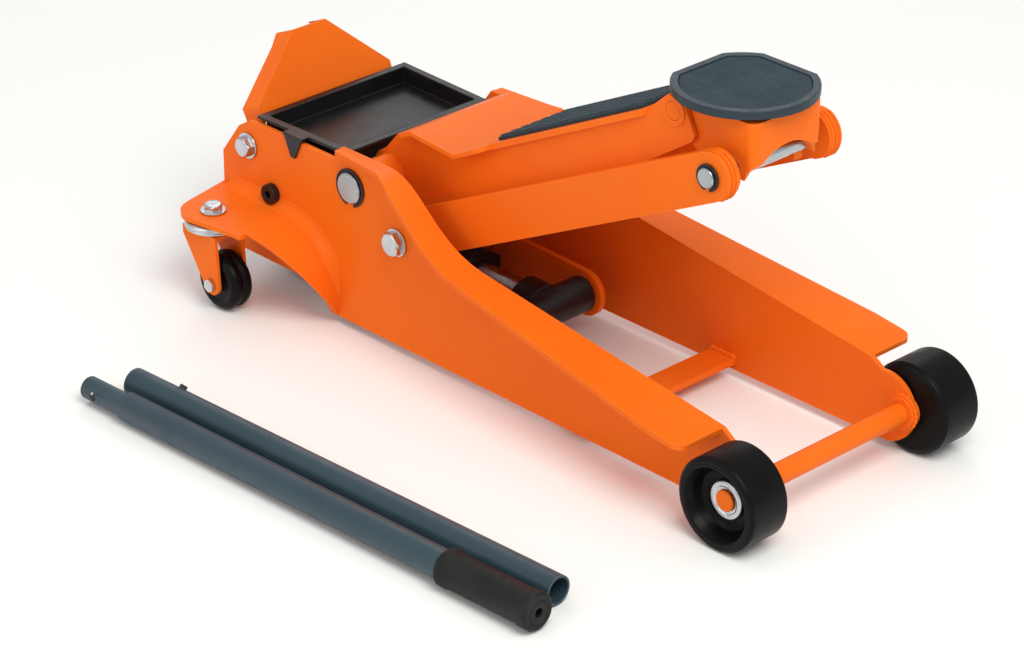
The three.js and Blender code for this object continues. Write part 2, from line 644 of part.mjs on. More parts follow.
function armWall() {
  const crank = new THREE.Vector2(ARM_PIVOT.x, ARM_PIVOT.y - CRANK_LENGTH);
  const lug = 14;
  const shape = new THREE.Shape();
  const tipStart = onArm(ARM_LENGTH - 30, ARM_TOP - 1);
  const points = [
    onArm(COVER_START, COVER_TOP - 1), onArm(COVER_RAISED_END, COVER_TOP - 1),
    onArm(COVER_LOW_START, ARM_TOP - 1), tipStart,
  ];
  shape.moveTo(points[0].x, points[0].y);
  for (const point of points.slice(1)) shape.lineTo(point.x, point.y);
  shape.absellipse(HEAD_PIN.x, HEAD_PIN.y, ARM_TIP, ARM_TIP_TOP, Math.PI * 0.6, 0, true, ARM_ANGLE);
  const tip = ARM_LENGTH + ARM_TIP;
  for (const [along, across] of [[tip, -26], [tip - 5, -30], [tip - 60, -37], [130, -44], [60, -62]]) {
    const point = onArm(along, across);
    shape.lineTo(point.x, point.y);
  }
  shape.absarc(crank.x, crank.y, lug, -Math.PI * 0.12, -Math.PI, true);
  shape.absarc(ARM_PIVOT.x, ARM_PIVOT.y, PIVOT_BOSS, -Math.PI * 0.92, -Math.PI * 1.4, true);
  shape.closePath();
  return shape;
}

function liftArm() {
  const outer = ARM_HALF_WIDTH;
  const inner = outer - ARM_WALL;
  const crankZ = ARM_PIVOT.y - CRANK_LENGTH;
  const walls = [slabXZ(armWall(), inner, outer), slabXZ(armWall(), -outer, -inner)];
  const cover = slabXZ(band(coverLine(COVER_WIDE_START), 4), -COVER_HALF_WIDTH, COVER_HALF_WIDTH);
  const rearLine = [onArm(COVER_START, COVER_TOP - 1), onArm(COVER_WIDE_START + 4, COVER_TOP - 1)];
  const rearCover = slabXZ(band(rearLine, 3), -outer, outer);
  const lip = outer + TOP_OVERHANG;
  const topLine = [onArm(COVER_END - 2, ARM_TOP), onArm(ARM_LENGTH - 34, ARM_TOP)];
  const topPlate = slabXZ(band(topLine, 5), -lip, lip);
  const bosses = [1, -1].map((side) => {
    const faces = [side * inner, side * (outer + 2)].sort((a, b) => a - b);
    return barY(ARM_TIP - 1, HEAD_PIN.x, HEAD_PIN.y, faces[0], faces[1], 24);
  });
  const studs = [1, -1].map((side) => {
    const faces = [side * inner, side * (DRIVE_PLATE_INNER_Y + DRIVE_PLATE + 2)].sort((a, b) => a - b);
    return barY(CRANK_PIN_RADIUS, ARM_PIVOT.x, crankZ, faces[0], faces[1], 20);
  });
  const reach = PLATE_GAP_HALF;
  const tube = barY(PIVOT_SHAFT_RADIUS + PIVOT_TUBE_WALL, ARM_PIVOT.x, ARM_PIVOT.y, 1 - reach, reach - 1, 26);
  return build(
    [...walls, tube, cover, rearCover, topPlate, ...bosses, ...studs],
    [
      barY(PIVOT_SHAFT_RADIUS + RUN, ARM_PIVOT.x, ARM_PIVOT.y, -reach, reach, 26),
      barY(HEAD_PIN_RADIUS + GAP, HEAD_PIN.x, HEAD_PIN.y, -reach, reach, 24),
    ],
  );
}

// ribbed pad in the top of the arm
function armTopPad() {
  const start = COVER_END + 4;
  const end = ARM_LENGTH - 40;
  const half = ARM_HALF_WIDTH - 4;
  const lift = ARM_TOP + GAP;
  const baseLine = [onArm(start, lift + PAD_THICKNESS), onArm(end, lift + PAD_THICKNESS)];
  const base = slabXZ(band(baseLine, PAD_THICKNESS), -half, half);
  const ribs = [];
  const ribTop = lift + PAD_THICKNESS + PAD_RIB;
  for (let y = -36; y <= 36; y += 12) {
    const line = [onArm(start + 1, ribTop), onArm(end - 1, ribTop)];
    ribs.push(slabXZ(band(line, PAD_RIB + 1), y - 3.5, y + 3.5));
  }
  return build([base, ...ribs]);
}

function headPin() {
  const end = ARM_HALF_WIDTH + 2;
  return build([barY(HEAD_PIN_RADIUS, HEAD_PIN.x, HEAD_PIN.y, -end, end, 24)]);
}

// ---------------------------------------------------------------- links
// channel bar outside the arm, on the left side
function link() {
  const rear = LINK_PIVOT;
  const front = CROSS_PIN;
  const outer = LINK_OUTER_Y;
  const side = slabXZ(stadium(rear, front, 22, 21), outer - LINK_WALL, outer);
  const along = front.clone().sub(rear).normalize();
  const up = new THREE.Vector2(-along.y, along.x);
  const edge = (from, distance, height) => {
    return from.clone().addScaledVector(along, distance).addScaledVector(up, height);
  };
  const topLine = [edge(rear, 16, 21), edge(front, -2, 21)];
  const top = slabXZ(band(topLine, LINK_WALL), outer - LINK_TOP_WIDTH, outer);
  const end = barY(21, front.x, front.y, outer - LINK_TOP_WIDTH, outer);
  const rearBoss = barY(16, rear.x, rear.y, outer - LINK_TOP_WIDTH, outer);
  return build(
    [side, top, end, rearBoss],
    [
      barY(LINK_BOLT_RADIUS + RUN, rear.x, rear.y, 0, outer + 9),
      barY(CROSS_PIN_RADIUS + RUN, front.x, front.y, 0, outer + 9),
    ],
  );
}

// bolt through a side plate that carries the rear of a link, on the right side
function linkBolt() {
  const face = -(PLATE_GAP_HALF + PLATE);
  const shankEnd = -(LINK_OUTER_Y - LINK_TOP_WIDTH);
  return hexBoltY(LINK_PIVOT.x, LINK_PIVOT.y, face, 11, 13, LINK_BOLT_RADIUS, shankEnd);
}

function crossPin() {
  const end = LINK_OUTER_Y + 5;
  const groove = LINK_OUTER_Y + 1;
  const neck = CROSS_PIN_RADIUS - 1.5;
  const half = [
    [CROSS_PIN_RADIUS, groove - 0.2], [neck, groove - 0.2],
    [neck, groove + 1.8], [CROSS_PIN_RADIUS, groove + 1.8],
    [CROSS_PIN_RADIUS, end - 1], [CROSS_PIN_RADIUS - 1, end], [0, end],
  ];
  const other = half.map(([radius, y]) => [radius, -y]).reverse();
  return turned([...other, ...half]).translate(CROSS_PIN.x, 0, CROSS_PIN.y);
}

function crossPinClip() {
  const face = LINK_OUTER_Y + 1;
  return circlip(CROSS_PIN.x, CROSS_PIN.y, CROSS_PIN_RADIUS - 1.2, CROSS_PIN_RADIUS + 3, face, face + 1.6);
}

// ---------------------------------------------------------------- head and saddle
function liftHead() {
  const half = ARM_HALF_WIDTH - ARM_WALL - 1;
  const top = SADDLE_TOP_Z - SADDLE_THICKNESS - 4;
  const front = HEAD_FRONT_X;
  const bottom = CROSS_PIN.y - 16;
  const shape = new THREE.Shape();
  shape.absarc(HEAD_PIN.x, HEAD_PIN.y, ARM_TIP_TOP, Math.PI * 0.6, Math.PI * 1.35, false);
  shape.absarc(CROSS_PIN.x, CROSS_PIN.y, CROSS_PIN.y - bottom, -Math.PI * 0.6, 0, false);
  shape.lineTo(front, CROSS_PIN.y + 7);
  shape.lineTo(front, top);
  shape.lineTo(HEAD_PIN.x + 4, top);
  shape.closePath();
  const reach = half + 20;
  const hollow = outline([
    [HEAD_PIN.x + 14, bottom - 10], [front - 12, bottom - 10],
    [front - 12, top - 14], [HEAD_PIN.x + 30, top - 14],
  ]);
  const arch = new THREE.Shape();
  arch.absarc(0, CROSS_PIN.y - 30, 47, 0, Math.PI, false);
  const collar = barZ(SADDLE_STEM_RADIUS + 12, SADDLE_X, 0, top - 10, top + 4 - GAP);
  return build(
    [slabXZ(shape, -half, half), collar],
    [
      slabXZ(hollow, -half + 9, half - 9),
      slabYZ(arch, CROSS_PIN.x + 2, front + 10),
      barY(HEAD_PIN_RADIUS + RUN, HEAD_PIN.x, HEAD_PIN.y, -reach, reach, 24),
      barY(CROSS_PIN_RADIUS + GAP, CROSS_PIN.x, CROSS_PIN.y, -reach, reach),
      barZ(SADDLE_STEM_RADIUS + RUN, SADDLE_X, 0, top - 30, top + 20),
    ],
  );
}

function saddleOutline(radius, flat) {
  const side = Math.acos(flat / radius);
  const shape = new THREE.Shape();
  shape.absarc(0, 0, radius, Math.PI + side, Math.PI * 2.5 - side, false);
  shape.absarc(0, 0, radius, Math.PI / 2 + side, Math.PI - side, false);
  shape.closePath();
  return shape;
}

function saddle() {
  const top = SADDLE_TOP_Z;
  const bottom = top - SADDLE_THICKNESS;
  return build(
    [
      slabXY(saddleOutline(SADDLE_RADIUS, SADDLE_FLAT), bottom, top),
      barZ(SADDLE_STEM_RADIUS, 0, 0, bottom - 24, bottom + 1),
    ],
    [slabXY(saddleOutline(SADDLE_RADIUS - 7, SADDLE_FLAT - 7), top - 4, top + 5)],
  ).translate(SADDLE_X, 0, 0);
}

function saddlePad() {
  const top = SADDLE_TOP_Z - 1;
  return build([slabXY(saddleOutline(SADDLE_RADIUS - 7 - GAP, SADDLE_FLAT - 7 - GAP), top - 3 + GAP, top)])
    .translate(SADDLE_X, 0, 0);
}

// ---------------------------------------------------------------- yoke and socket
// the yoke is drawn upright around its pivot and leans back with its group
function yoke() {
  const half = YOKE_BOTTOM_HALF;
  const top = YOKE_TOP_REACH;
  const front = 11;
  const depth = 25;
  const side = [
    [front, -10], [front, top], [front - depth, top - 1],
    [front - depth + 3, top - 11], [front - depth + 1, YOKE_SHOULDER],
    [-10, 12], [-12, -10],
  ];
  const face = [
    [-half, 16], [half, 16], [half, YOKE_SHOULDER],
    [YOKE_TOP_HALF, top], [-YOKE_TOP_HALF, top], [-half, YOKE_SHOULDER],
  ];
  const innerFace = [
    [-half + YOKE_SHEET, -20], [half - YOKE_SHEET, -20], [half - YOKE_SHEET, YOKE_SHOULDER - 1],
    [YOKE_TOP_HALF - YOKE_SHEET, top + 1], [-YOKE_TOP_HALF + YOKE_SHEET, top + 1],
    [-half + YOKE_SHEET, YOKE_SHOULDER - 1],
  ];
  const shell = build(
    [slabXZ(outline(side), -half, half)],
    [
      slabYZ(outline(innerFace), front - depth - 10, front - YOKE_SHEET),
      box(-60, 40, -half + YOKE_SHEET, half - YOKE_SHEET, -30, 16),
    ],
    [slabYZ(outline([[-half, -20], [half, -20], ...face.slice(2)]), front - depth - 20, front + 5)],
  );
  const shelf = box(-12, front - 1, -half + 2, half - 2, 16, 21);
  return build([shell, shelf], [barY(YOKE_BOLT_RADIUS + RUN, 0, 0, -half - 5, half + 5)]);
}

// tube that takes the handle, standing behind the face of the yoke
function socketTube() {
  const x = 11 - YOKE_SHEET - SOCKET_RADIUS - GAP;
  return build(
    [barZ(SOCKET_RADIUS, x, 0, 22, YOKE_TOP_REACH - 8)],
    [barZ(SOCKET_BORE, x, 0, 28, YOKE_TOP_REACH)],
  );
}

function yokeBolt() {
  const face = -(PLATE_GAP_HALF + PLATE);
  const shankEnd = -(YOKE_BOTTOM_HALF - YOKE_SHEET - 4);
  return hexBoltY(YOKE_PIVOT.x, YOKE_PIVOT.y, face, 10, 12.5, YOKE_BOLT_RADIUS, shankEnd);
}

// ---------------------------------------------------------------- tray
function tray() {
  const half = TRAY_HALF_WIDTH;
  const top = TRAY_TOP_Z;
  const frontHalf = half - 4;
  const plan = (inset) => outline([
    [TRAY_REAR_X + inset, -half + inset], [TRAY_FRONT_X - inset, -frontHalf + inset],
    [TRAY_FRONT_X - inset, frontHalf - inset], [TRAY_REAR_X + inset, half - inset],
  ]);
  const clipX = (TRAY_REAR_X + TRAY_FRONT_X) / 2 - 3;
  const clipFace = PLATE_GAP_HALF + PLATE + GAP;
  const hook = outline([[clipX - 13, top], [clipX + 13, top], [clipX + 3, top - 22], [clipX - 3, top - 22]]);
  const clipArm = box(clipX - 13, clipX + 13, -clipFace - 2, 6 - half, top - 3, top);
  return build(
    [
      slabXY(plan(0), top - 3, top), slabXY(plan(TRAY_LIP), top - TRAY_DEPTH, top - 1), clipArm,
      slabXZ(hook, -clipFace - 2, -clipFace),
    ],
    [slabXY(plan(TRAY_LIP + TRAY_WALL), top - TRAY_DEPTH + TRAY_WALL, top + 5)],
  );
}

// ---------------------------------------------------------------- casters
// drawn around the swivel line, wheel trailing towards +X
const CASTER_DISC_RADIUS = 27;
const CASTER_DISC = 9.5;
const FORK_HALF = 24;
const FORK_TOP_Z = EAR_Z - PLATE - GAP - CASTER_DISC - GAP;

function casterBolt() {
  const head = 6;
  return build([
    barZ(12, 0, 0, EAR_Z + GAP, EAR_Z + GAP + 2, 24),
    barZ(9, 0, 0, EAR_Z + GAP + 1, EAR_Z + GAP + 2 + head, 6),
    barZ(CASTER_BOLT_RADIUS, 0, 0, FORK_TOP_Z - CASTER_SHEET - 4, EAR_Z + GAP + 1, 20),
  ]);
}

function casterDisc() {
  const top = EAR_Z - PLATE - GAP;
  const bore = CASTER_BOLT_RADIUS + GAP;
  return turned([
    [bore, -top], [CASTER_DISC_RADIUS - 2, -top],
    [CASTER_DISC_RADIUS, -top + 2], [CASTER_DISC_RADIUS, -top + 4],
    [CASTER_DISC_RADIUS - 4, -top + CASTER_DISC], [bore, -top + CASTER_DISC], [bore, -top],
  ]).rotateX(-Math.PI / 2);
}

function casterFork() {
  const top = FORK_TOP_Z;
  const inner = CASTER_WHEEL_WIDTH / 2 + 1.5;
  const outer = inner + CASTER_SHEET;
  const centre = new THREE.Vector2(CASTER_TRAIL, CASTER_WHEEL_RADIUS);
  const cheek = new THREE.Shape();
  cheek.moveTo(-FORK_HALF, top - 8);
  cheek.lineTo(-FORK_HALF, top);
  cheek.lineTo(FORK_HALF - 3, top);
  cheek.absarc(centre.x, centre.y, 10, Math.PI * 0.06, -Math.PI * 0.84, true);
  cheek.closePath();
  return build(
    [
      slabXZ(cheek, inner, outer), slabXZ(cheek, -outer, -inner),
      box(-FORK_HALF, FORK_HALF - 3, -outer, outer, top - CASTER_SHEET, top),
    ],
    [
      barZ(CASTER_BOLT_RADIUS + RUN, 0, 0, top - 20, top + 5, 20),
      barY(4 + GAP, centre.x, centre.y, -outer - 5, outer + 5, 16),
    ],
  );
}

function casterAxle() {
  const outer = CASTER_WHEEL_WIDTH / 2 + 1.5 + CASTER_SHEET;
  const nut = 4;
  return build([
    barY(4, CASTER_TRAIL, CASTER_WHEEL_RADIUS, -outer - nut, outer + nut, 16),
    barY(6.5, CASTER_TRAIL, CASTER_WHEEL_RADIUS, outer + GAP, outer + GAP + nut, 6),
    barY(6.5, CASTER_TRAIL, CASTER_WHEEL_RADIUS, -outer - GAP - nut, -outer - GAP, 6),
  ]);
}

function casterWheel() {
  const half = CASTER_WHEEL_WIDTH / 2;
  const radius = CASTER_WHEEL_RADIUS;
  const bore = 4 + RUN;
  return turned([
    [bore, -half], [radius - 4, -half], [radius, -half + 4],
    [radius, -2.5], [radius - 2.5, -1], [radius - 2.5, 1],
    [radius, 2.5], [radius, half - 4], [radius - 4, half], [bore, half], [bore, -half],
  ], 26).translate(CASTER_TRAIL, 0, radius);
}

// ---------------------------------------------------------------- handle
// each tube is drawn lying along +X from x = 0
function lowerTube() {
  const wall = TUBE_RADIUS - TUBE_WALL;
  return build(
    [barX(TUBE_RADIUS, 0, 0, 0, LOWER_TUBE_LENGTH)],
    [
      barX(wall, 0, 0, -5, LOWER_TUBE_LENGTH + 5),
      barZ(BUTTON_RADIUS + RUN, BUTTON_X, 0, 0, TUBE_RADIUS + 5, 16),
    ],
  ).rotateX(-BUTTON_ROLL);
}

function springButton() {
  return build([
    barZ(BUTTON_RADIUS, BUTTON_X, 0, 4, TUBE_RADIUS + 3, 16),
    barZ(BUTTON_RADIUS + 2, BUTTON_X, 0, 2, TUBE_RADIUS - TUBE_WALL - 3, 16),
  ]).rotateX(-BUTTON_ROLL);
}

function upperTube() {
  const neck = TUBE_NECK_LENGTH;
  const bore = TUBE_NECK_RADIUS - TUBE_WALL;
  const barrel = turned([
    [bore, 0], [TUBE_NECK_RADIUS, 0], [TUBE_NECK_RADIUS, neck], [TUBE_RADIUS, neck + 5],
    [TUBE_RADIUS, UPPER_TUBE_LENGTH - 3], [bore, UPPER_TUBE_LENGTH - 3], [bore, 0],
  ]).rotateZ(-Math.PI / 2);
  return build([barrel], [barY(BUTTON_RADIUS + RUN, 16, 0, -20, 20, 16)]);
}

function grip() {
  const start = UPPER_TUBE_LENGTH - GRIP_LENGTH;
  const end = UPPER_TUBE_LENGTH;
  const bore = TUBE_RADIUS + GAP;
  const body = GRIP_RADIUS - 0.9;
  return turned([
    [bore, start], [GRIP_RADIUS - 1, start], [GRIP_RADIUS, start + 1.5],
    [GRIP_RADIUS, start + 7], [body, start + 8.5],
    [body, end - 14], [GRIP_RADIUS, end - 12.5], [GRIP_RADIUS, end - 2], [GRIP_RADIUS - 2, end],
    [GRIP_RADIUS - 5, end], [GRIP_RADIUS - 5.8, end - 1], [GRIP_RADIUS - 6.6, end],
    [4, end], [4, end - 3 + GAP], [bore, end - 3 + GAP], [bore, start],
  ]).rotateZ(-Math.PI / 2);
}

// ---------------------------------------------------------------- assembly
const jack = new THREE.Group();
jack.name = 'trolley_jack';

function addPair(name, geometry, look, parent = jack) {
  parent.add(piece(`${name}_left`, geometry, look));
  parent.add(piece(`${name}_right`, mirrored(geometry), look));
}

addPair('side_plate', sidePlate(), PAINT);
jack.add(piece('front_axle', frontAxle(), PAINT));
addPair('front_wheel', frontWheel(), TYRE);
addPair('axle_ring', axleRing(), ZINC);
jack.add(piece('cross_brace', crossBrace(), PAINT));
jack.add(piece('arm_pivot_shaft', pivotShaft(), STEEL));
addPair('pivot_circlip', pivotCirclip(), SPRING_STEEL);
jack.add(piece('side_plug_right', sidePlug(), BLACK_PAINT));
jack.add(piece('side_plug_left', mirrored(sidePlug()), BLACK_PAINT));
jack.add(piece('link_bolt_right', linkBolt(), ZINC));
jack.add(piece('link_bolt_left', mirrored(linkBolt()), ZINC));
jack.add(piece('yoke_bolt_right', yokeBolt(), ZINC));
jack.add(piece('yoke_bolt_left', mirrored(yokeBolt()), ZINC));

jack.add(piece('hydraulic_block', hydraulicBlock(), BLACK_PAINT));
jack.add(piece('ram_cylinder', ramCylinder(), BLACK_PAINT));
jack.add(piece('ram_rod', ramRod(), STEEL));
jack.add(piece('crosshead', crosshead(), BLACK_PAINT));
addPair('drive_plate', drivePlate(), PAINT);
jack.add(piece('pump_plunger', pumpPlunger(), STEEL));
jack.add(piece('pump_spring', pumpSpring(), SPRING_STEEL));
jack.add(piece('release_valve', releaseValve(), ZINC));

jack.add(piece('lift_arm', liftArm(), PAINT));
jack.add(piece('arm_top_pad', armTopPad(), SLATE_RUBBER));
jack.add(piece('head_pin', headPin(), PAINT));
addPair('link', link(), PAINT);
jack.add(piece('cross_pin', crossPin(), STEEL));
addPair('cross_pin_clip', crossPinClip(), SPRING_STEEL);
jack.add(piece('lift_head', liftHead(), PAINT));
jack.add(piece('saddle', saddle(), SLATE));
jack.add(piece('saddle_pad', saddlePad(), SLATE_RUBBER));

const yokeGroup = new THREE.Group();
yokeGroup.position.set(YOKE_PIVOT.x, 0, YOKE_PIVOT.y);
yokeGroup.rotation.y = -YOKE_LEAN;
yokeGroup.add(piece('yoke', yoke(), PAINT));
yokeGroup.add(piece('handle_socket', socketTube(), PAINT));
jack.add(yokeGroup);
jack.add(piece('tool_tray', tray(), PLASTIC));

for (const [side, y] of [['left', CASTER_Y], ['right', -CASTER_Y]]) {
  const fixed = new THREE.Group();
  fixed.position.set(CASTER_X, y, 0);
  fixed.add(piece(`caster_bolt_${side}`, casterBolt(), ZINC));
  fixed.add(piece(`caster_disc_${side}`, casterDisc(), ZINC));
  fixed.add(piece(`caster_fork_${side}`, casterFork(), PAINT));
  fixed.add(piece(`caster_axle_${side}`, casterAxle(), ZINC));
  fixed.add(piece(`caster_wheel_${side}`, casterWheel(), TYRE));
  jack.add(fixed);
}

const upper = new THREE.Group();
const gripLead = UPPER_TUBE_LENGTH - GRIP_LENGTH - TUBE_NECK_LENGTH;
upper.position.set(UPPER_TUBE_X, UPPER_TUBE_Y, TUBE_RADIUS);
upper.rotation.set(0, -Math.asin((GRIP_RADIUS - TUBE_RADIUS) / gripLead), UPPER_TUBE_TURN);
upper.add(piece('handle_upper_tube', upperTube(), SLATE));
upper.add(piece('handle_grip', grip(), RUBBER));
upper.position.z -= new THREE.Box3().setFromObject(upper, true).min.z;
jack.add(upper);
const lower = new THREE.Group();
lower.position.set(LOWER_TUBE_X, LOWER_TUBE_Y, TUBE_RADIUS);
lower.rotation.z = LOWER_TUBE_TURN;
lower.add(piece('handle_lower_tube', lowerTube(), SLATE));
lower.add(piece('handle_button', springButton(), ZINC));
jack.add(lower);

// origin at the middle of the footprint, on the ground
jack.updateMatrixWorld(true);
const bounds = new THREE.Box3().setFromObject(jack, true);
const middle = bounds.getCenter(new THREE.Vector3());
jack.position.set(-middle.x, -middle.y, -bounds.min.z);

export default jack;
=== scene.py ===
"""Looks of the trolley jack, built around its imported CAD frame."""
import json
import math
import random

import bmesh
import bpy
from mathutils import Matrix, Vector


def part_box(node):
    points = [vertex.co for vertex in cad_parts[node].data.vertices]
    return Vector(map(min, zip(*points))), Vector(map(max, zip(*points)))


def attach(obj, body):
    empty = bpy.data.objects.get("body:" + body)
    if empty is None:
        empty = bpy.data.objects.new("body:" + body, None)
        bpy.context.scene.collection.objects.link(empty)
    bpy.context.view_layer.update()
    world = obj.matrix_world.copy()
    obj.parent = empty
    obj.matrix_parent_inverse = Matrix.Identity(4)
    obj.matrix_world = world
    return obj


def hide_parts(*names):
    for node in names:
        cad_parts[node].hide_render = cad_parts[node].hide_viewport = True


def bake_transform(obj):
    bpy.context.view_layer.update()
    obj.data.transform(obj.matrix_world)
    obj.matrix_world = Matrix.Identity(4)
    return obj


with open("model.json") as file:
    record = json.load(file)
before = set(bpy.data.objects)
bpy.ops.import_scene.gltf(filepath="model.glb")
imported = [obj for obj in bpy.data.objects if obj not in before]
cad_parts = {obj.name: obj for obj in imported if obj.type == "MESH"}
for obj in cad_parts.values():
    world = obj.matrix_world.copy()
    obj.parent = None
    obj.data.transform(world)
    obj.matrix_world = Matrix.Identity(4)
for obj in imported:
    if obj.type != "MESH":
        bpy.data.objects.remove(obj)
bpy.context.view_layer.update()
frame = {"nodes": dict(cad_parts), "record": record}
NODES = frame["nodes"]
RECORD = frame["record"]
BODY_OF = {n: b for b, names in RECORD["behaviour"]["bodies"].items() for n in names}
SLOT_OF = {s["node"]: s["material_slot"] for s in RECORD["subparts"]}
random.seed(7)

# sizes and places shared with the CAD model, in millimetres; x and y are measured from the axle's middle
MM = 0.001
WHEEL_Z = 41.5                              # the rollers' axle line above the ground
PLATE_FACE_Y = 93                           # outer face of a side plate
PLATE_INNER_Y = 88                          # just inside a side plate's inner face
CASTER_X, CASTER_Y = -619, 143              # a caster's swivel line
EAR_TOP_Z = 90                              # top of the ear that carries a caster
YOKE_BOLT_X, YOKE_BOLT_Z = -627, 137        # middle of a yoke bolt
BRACE_REAR_X, BRACE_FRONT_X = -218, -190    # ends of a weld along the cross brace
AXLE_WELD_RADIUS = 15.2                     # the weld round the axle
COVER_HALF_WIDTH = 63                       # the arm's raised cover
LINK_END_RADIUS = 20.9                      # the rim of a link's front end

# sizes of the details added here, in millimetres
BEAD_STEP = 0.8                             # between the rings of a weld bead
COVE_RADIUS = 9.0                           # the inside corner of a caster ear
RIDGE_HEIGHT, RIDGE_HALF_WIDTH = 1.7, 1.5   # a link's ridges
RIDGE_Y = (65.2, 61.0, 56.8)
# flat radius, head height, washer radius, shank radius and shank length of each kind of bolt
CASTER_BOLT = (7.8, 5.8, 11.9, 5.0, 19.5)
LINK_BOLT = (10.2, 7.4, 12.95, 9.0, 39.0)
YOKE_BOLT = (8.7, 7.0, 12.4, 7.0, 20.5)

low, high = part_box("front_axle")
AXLE = Vector(((low.x + high.x) / 2, (low.y + high.y) / 2, 0))   # the axle line, on the ground


def at(x, y, z):
    """A point in millimetres from the axle line's middle, as metres in the frame."""
    return AXLE + Vector((x, y, z)) * MM


def centre(node):
    a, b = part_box(node)
    return (a + b) / 2


# ------------------------------------------------------------------ camera
# BACK points from the target to the camera, which stands DISTANCE metres away
TARGET = at(-379.589, 0, 12.706)
BACK = Vector((0.6437, -0.6138, 0.4570)).normalized()
DISTANCE = 3.216655
camera_data = bpy.data.cameras.new("camera")
camera_data.lens = 126.86
camera_data.sensor_width = 36
camera_data.clip_end = 50
camera = bpy.data.objects.new("camera", camera_data)
camera.location = TARGET + BACK * DISTANCE
camera.rotation_euler = BACK.to_track_quat("Z", "Y").to_euler()
bpy.context.scene.collection.objects.link(camera)
bpy.context.scene.camera = camera
bpy.context.scene.view_settings.view_transform = "Standard"


# ------------------------------------------------------------------ materials
def node(tree, kind, **values):
    """A shader node of a kind, with its attributes set."""
    made = tree.nodes.new(kind)
    for key, value in values.items():
        setattr(made, key, value)
    return made


def noise(tree, vector, scale, detail=3.0, rough=0.5, stretch=None):
    """Noise from 0 to 1 over vector, finer with a larger scale; stretch draws it out along an axis."""
    if stretch:
        mapping = node(tree, "ShaderNodeMapping")
        mapping.inputs["Scale"].default_value = stretch
        tree.links.new(vector, mapping.inputs["Vector"])
        vector = mapping.outputs["Vector"]
    made = node(tree, "ShaderNodeTexNoise")
    made.inputs["Scale"].default_value = scale
    made.inputs["Detail"].default_value = detail
    made.inputs["Roughness"].default_value = rough
    tree.links.new(vector, made.inputs["Vector"])
    return made.outputs["Fac"]


def spread(tree, value, a, b, c, d):
    """Maps a value's range a to b onto c to d."""
    made = node(tree, "ShaderNodeMapRange")
    for name, number in (("From Min", a), ("From Max", b), ("To Min", c), ("To Max", d)):
        made.inputs[name].default_value = number
    tree.links.new(value, made.inputs["Value"])
    return made.outputs["Result"]


def blend_colour(tree, factor, a, b):
    """Colour a where factor is 0 and b where it is 1; each is a tuple or a socket."""
    made = node(tree, "ShaderNodeMix", data_type="RGBA")
    for socket, value in ((6, a), (7, b)):
        if isinstance(value, tuple):
            made.inputs[socket].default_value = (*value, 1)
        else:
            tree.links.new(value, made.inputs[socket])
    tree.links.new(factor, made.inputs[0])
    return made.outputs[2]


def multiply(tree, a, b):
    made = node(tree, "ShaderNodeMath", operation="MULTIPLY")
    for socket, value in ((0, a), (1, b)):
        if isinstance(value, (int, float)):
            made.inputs[socket].default_value = value
        else:
            tree.links.new(value, made.inputs[socket])
    return made.outputs[0]


def edge_highlight_mask(tree, radius):
    """1 on the object's sharp edges, 0 on its faces, where a painted highlight goes."""
    bevel = node(tree, "ShaderNodeBevel", samples=4)
    bevel.inputs["Radius"].default_value = radius
    geometry = node(tree, "ShaderNodeNewGeometry")
    dot = node(tree, "ShaderNodeVectorMath", operation="DOT_PRODUCT")
    tree.links.new(bevel.outputs["Normal"], dot.inputs[0])
    tree.links.new(geometry.outputs["Normal"], dot.inputs[1])
    return spread(tree, dot.outputs["Value"], 0.985, 0.80, 0.0, 1.0)


MATERIALS = {}


def material(name, light, dark, metal, rough, spread_rough=0.06, coat=0.0, coat_rough=0.1, specular=0.5,
             grain=900.0, grain_depth=0.00004, strength=0.3, patch=14.0, stretch=None, third=None,
             edge=None, edge_width=0.0012, edge_amount=0.6):
    """Patches of light and dark colour under a fine grain, with a paler or darker line painted on sharp edges
    as a highlight.
    grain and patch are noise scales, grain_depth and the painted highlight's width are in metres."""
    made = bpy.data.materials.new(name)
    made.use_nodes = True
    tree = made.node_tree
    shader = tree.nodes["Principled BSDF"]
    shader.inputs["Metallic"].default_value = metal
    shader.inputs["Coat Weight"].default_value = coat
    shader.inputs["Coat Roughness"].default_value = coat_rough
    shader.inputs["Specular IOR Level"].default_value = specular
    place = node(tree, "ShaderNodeTexCoord").outputs["Object"]
    patches = spread(tree, noise(tree, place, patch, 4.0, 0.55), 0.3, 0.7, 0.0, 1.0)
    colour = blend_colour(tree, patches, dark, light)
    if third:
        tint = spread(tree, noise(tree, place, patch * 6, 2.0), 0.45, 0.75, 0.0, 0.7)
        colour = blend_colour(tree, tint, colour, third)
    speck = spread(tree, noise(tree, place, grain * 0.5, 2.0), 0.35, 0.65, 0.0, 1.0)
    shade = blend_colour(tree, multiply(tree, speck, 0.35), colour, dark)
    # painted highlight: the edge colour laid along sharp edges, uneven in strength
    if edge:
        highlight_mask = edge_highlight_mask(tree, edge_width)
        uneven = spread(tree, noise(tree, place, 60.0, 4.0, 0.7), 0.35, 0.65, 0.4, edge_amount)
        shade = blend_colour(tree, multiply(tree, highlight_mask, uneven), shade, edge)
    tree.links.new(shade, shader.inputs["Base Color"])
    coarse = noise(tree, place, patch * 3, 4.0, 0.6)
    roughness = spread(tree, coarse, 0.3, 0.7, rough - spread_rough, rough + spread_rough)
    tree.links.new(roughness, shader.inputs["Roughness"])
    bump = node(tree, "ShaderNodeBump")
    bump.inputs["Strength"].default_value = strength
    bump.inputs["Distance"].default_value = grain_depth
    tree.links.new(noise(tree, place, grain, 3.0, 0.5, stretch), bump.inputs["Height"])
    tree.links.new(bump.outputs["Normal"], shader.inputs["Normal"])
    MATERIALS[name] = made


def painted(name, light, dark, rough, **extra):
    material(name, light, dark, 0.0, rough, **extra)


def bare_metal(name, light, dark, rough, **extra):
    material(name, light, dark, 1.0, rough, **extra)
